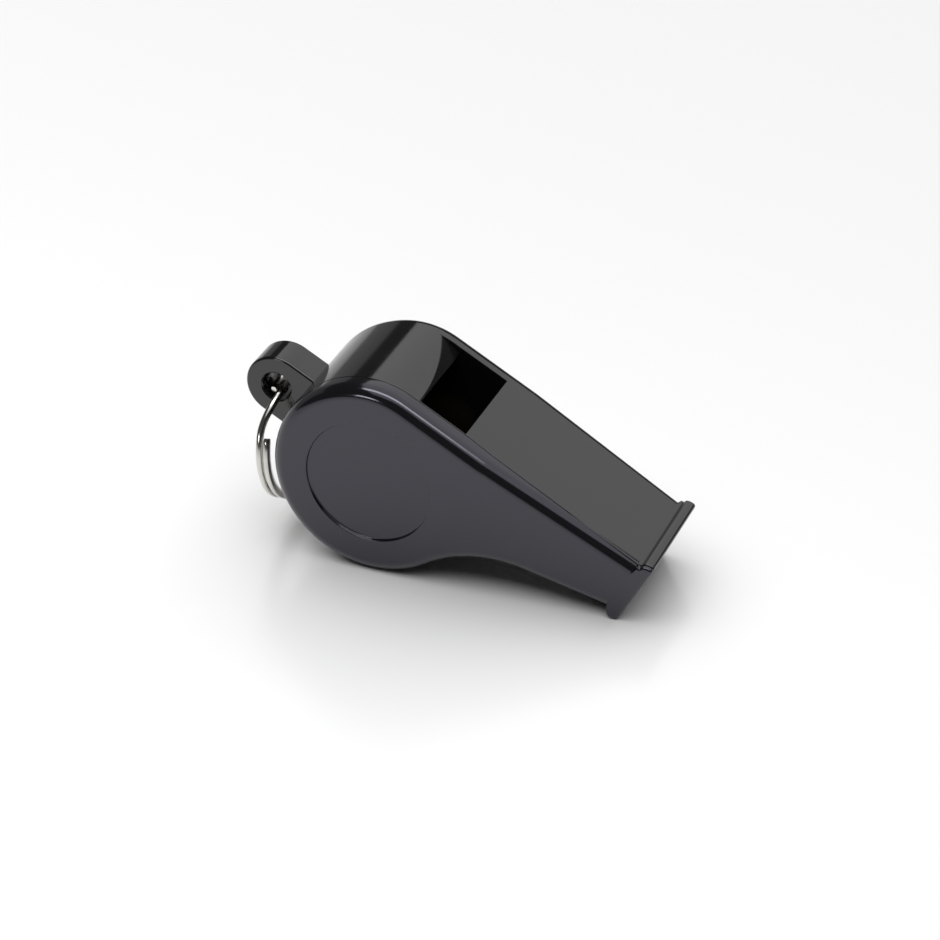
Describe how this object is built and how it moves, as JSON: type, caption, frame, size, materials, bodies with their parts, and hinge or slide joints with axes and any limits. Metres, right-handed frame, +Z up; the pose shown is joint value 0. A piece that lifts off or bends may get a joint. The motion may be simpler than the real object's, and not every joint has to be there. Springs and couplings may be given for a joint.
{
  "type": "training whistle",
  "caption": "Black plastic pea whistle with a round drum, slanted flat mouthpiece, sound window, loose ball inside, and a steel split ring in the lug at its back.",
  "frame": {"origin": "on the ground under the middle of the whistle's bounding box, the whistle standing on its drum and the foot of its lip", "axes": "+X level from the drum towards the mouth, +Y across the drum towards the body's far side (the cover is on -Y), +Z up"},
  "size_m": [0.0538, 0.0186, 0.0253],
  "materials": {
    "black_plastic": "smooth moulded black plastic, half gloss",
    "black_plastic_cover": "smooth moulded black plastic, half gloss",
    "cork": "natural cork",
    "nickel_steel": "bright nickel-plated steel"
  },
  "bodies": {
    "whistle": {"body_shell": "black_plastic", "side_cover": "black_plastic_cover"},
    "ring": {"split_ring": "nickel_steel"},
    "pea": {"pea_ball": "cork"}
  },
  "joints": [
    {"name": "ring_swing", "type": "hinge", "parent": "whistle", "child": "ring", "pos_m": [-0.02296, 0, 0.01862], "axis": [0, 1, 0], "range_deg": [-6, 232]},
    {"name": "pea_roll", "type": "hinge", "parent": "whistle", "child": "pea", "pos_m": [-0.00803, 0, 0.01265], "axis": [0, 1, 0], "continuous": true}
  ]
}
